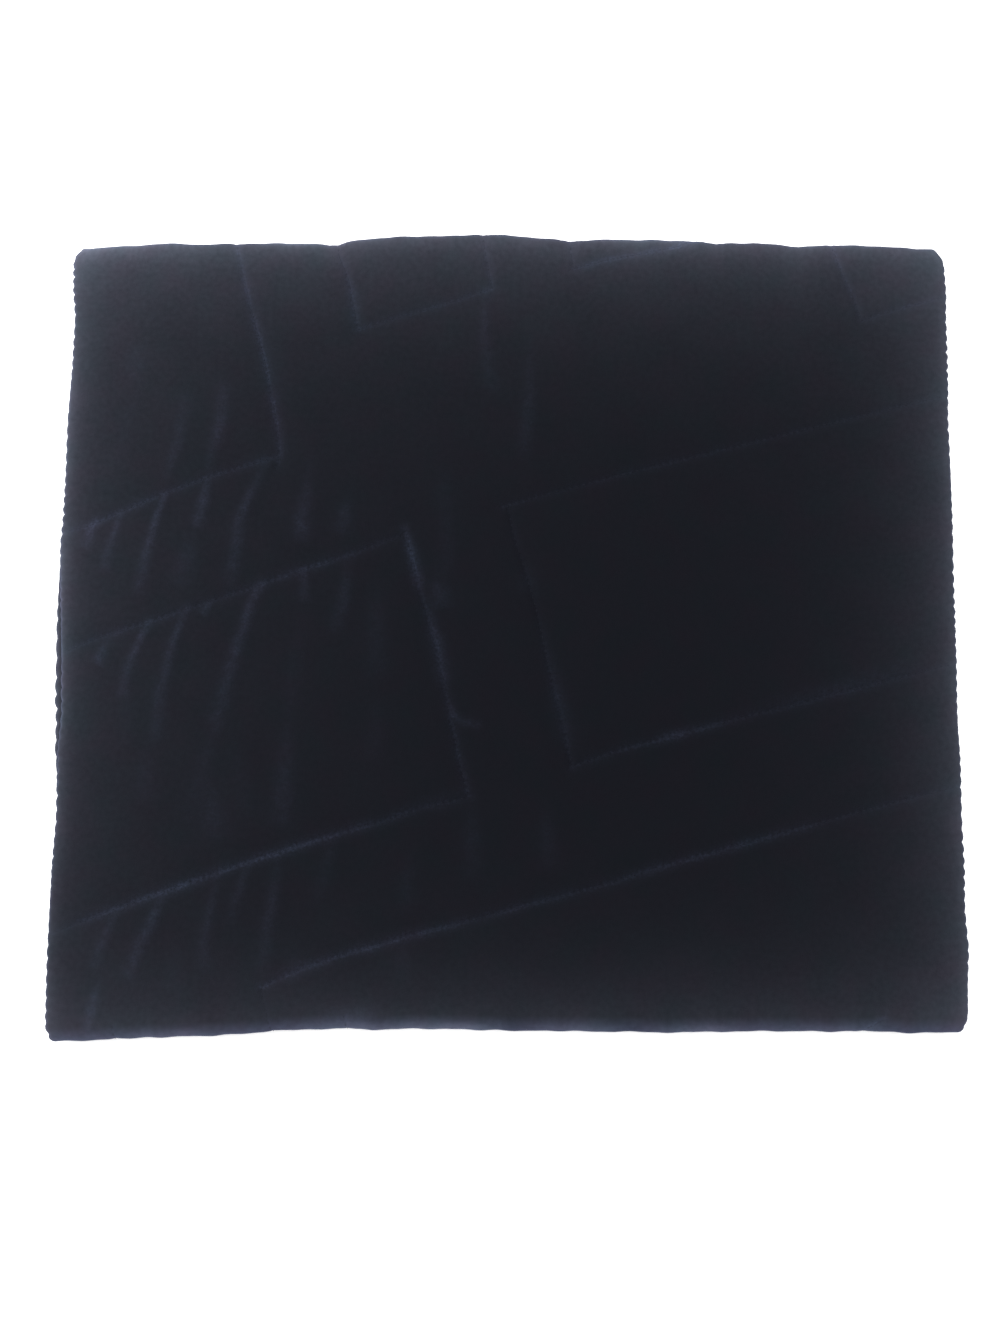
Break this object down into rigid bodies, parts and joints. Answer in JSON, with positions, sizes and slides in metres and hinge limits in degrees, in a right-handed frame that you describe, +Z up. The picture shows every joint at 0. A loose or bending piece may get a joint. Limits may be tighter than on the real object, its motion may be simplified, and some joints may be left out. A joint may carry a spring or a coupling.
{
  "type": "folded shawl",
  "caption": "Quilted velvet shawl in dark navy, folded flat into a rectangle, with slanting stitched blocks on top and hems layered at the sides.",
  "frame": {"origin": "under the middle of the folded stack, on the surface that it lies on", "axes": "+Z up, +X along the two folded edges, +Y from the thick near fold to the thin far fold"},
  "size_m": [0.5027, 0.4607, 0.0207],
  "materials": {
    "velvet_face": "dark navy velvet with a soft sheen",
    "velvet_folded": "dark navy velvet, the folded layers"
  },
  "bodies": {
    "root": {"outer_leaf": "velvet_face", "inner_leaves": "velvet_folded"}
  },
  "joints": []
}
